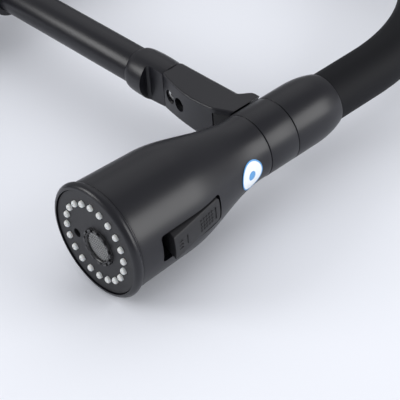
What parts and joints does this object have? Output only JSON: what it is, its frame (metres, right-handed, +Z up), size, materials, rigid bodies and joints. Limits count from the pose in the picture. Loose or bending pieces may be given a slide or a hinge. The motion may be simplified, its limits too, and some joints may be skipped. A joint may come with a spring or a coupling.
{
  "type": "pull down kitchen faucet",
  "caption": "Tall kitchen faucet with a side lever, an arched flexible hose and a docking arm that holds a bell-shaped spray head with a rocker switch.",
  "frame": {"origin": "centre of the deck hole, on the deck's top, where the gasket rests", "axes": "+Z up along the column, +X from the column towards the spray head, -Y towards the side handle"},
  "size_m": [0.2773, 0.0798, 0.5414],
  "materials": {
    "black_paint": "matte black powder coat",
    "black_plastic": "satin moulded black",
    "black_rubber": "soft matte black silicone and rubber",
    "nozzle_silicone": "soft light grey silicone",
    "steel": "brushed stainless",
    "black_steel": "blackened steel",
    "brass": "machined",
    "white_plastic": "moulded white",
    "ceramic": "lapped ceramic",
    "magnet": "sintered magnet",
    "label": "printed film"
  },
  "bodies": {
    "base": {"base_gasket": "black_rubber", "base_flange": "black_paint", "valve_body": "black_paint", "mounting_shank": "brass", "rubber_washer": "black_rubber", "steel_washer": "steel", "mounting_nut": "brass", "hot_inlet": "brass", "cold_inlet": "brass", "cartridge_body": "white_plastic", "cartridge_nut": "brass", "ceramic_disc_fixed": "ceramic", "bonnet": "black_paint", "swivel_bush": "white_plastic", "swivel_seal": "black_rubber"},
    "carrier": {"stem_carrier": "white_plastic", "stem_pin": "steel"},
    "moving_disc": {"ceramic_disc_moving": "ceramic"},
    "handle": {"stem": "steel", "handle_hub": "black_paint", "handle_lever": "black_paint", "hub_screw": "black_steel", "index_cap": "label"},
    "spout": {"trim_ring": "black_paint", "riser_tube": "black_paint", "outlet_nipple": "brass", "hose_socket": "black_paint", "arm_collar": "black_paint", "collar_screw": "black_steel", "arm_tube": "black_paint", "arm_sleeve": "black_paint", "dock_bracket": "black_paint", "bracket_screw_1": "steel", "bracket_screw_2": "steel", "dock_pad": "black_rubber", "dock_magnet": "magnet", "hose_sleeve": "black_rubber", "inner_hose": "white_plastic"},
    "hose_end": {"hose_nut": "black_paint", "swivel_stem": "brass", "stem_seal": "black_rubber", "stem_clip": "steel"},
    "spray_head": {"head_shell": "black_paint", "face_rim": "black_paint", "face_plate": "black_plastic", "plate_screw": "black_steel", "nozzle_mat": "nozzle_silicone", "aerator_housing": "black_plastic", "aerator_mesh": "steel", "spray_core": "white_plastic", "rocker_cradle": "black_plastic", "rocker_pin": "steel", "neck_collar": "black_paint", "dock_ring": "steel", "label": "label"},
    "rocker": {"rocker_button": "black_plastic"},
    "spool": {"diverter_spool": "white_plastic"}
  },
  "joints": [
    {"name": "spout_swivel", "type": "hinge", "parent": "base", "child": "spout", "pos_m": [0, 0, 0.15], "axis": [0, 0, -1], "continuous": true},
    {"name": "handle_turn", "type": "hinge", "parent": "base", "child": "carrier", "pos_m": [0, -0.024, 0.095], "axis": [0, -1, 0], "range_deg": [-45, 45]},
    {"name": "lever_lift", "type": "hinge", "parent": "carrier", "child": "handle", "pos_m": [0, -0.024, 0.095], "axis": [1, 0, 0], "range_deg": [0, 22]},
    {"name": "disc_slide", "type": "slide", "parent": "carrier", "child": "moving_disc", "axis": [0, 0, 1], "range_m": [0, 0.003]},
    {"name": "hose_flex", "type": "hinge", "parent": "spout", "child": "hose_end", "pos_m": [0.11, 0, 0.467], "axis": [0, -1, 0], "range_deg": [0, 35], "deforming": ["hose_sleeve", "inner_hose"]},
    {"name": "head_swivel", "type": "hinge", "parent": "hose_end", "child": "spray_head", "pos_m": [0.22, 0, 0.2953], "axis": [0, 0, -1], "continuous": true},
    {"name": "rocker_toggle", "type": "hinge", "parent": "spray_head", "child": "rocker", "pos_m": [0.2396, 0, 0.2215], "axis": [0, 1, 0], "range_deg": [0, 8]},
    {"name": "spool_slide", "type": "slide", "parent": "spray_head", "child": "spool", "axis": [0, 0, 1], "range_m": [0, 0.0018]}
  ],
  "couplings": [
    {"joint": "disc_slide", "follows": "lever_lift", "m_per_rad": 0.0076},
    {"joint": "spool_slide", "follows": "rocker_toggle", "m_per_rad": 0.012}
  ]
}
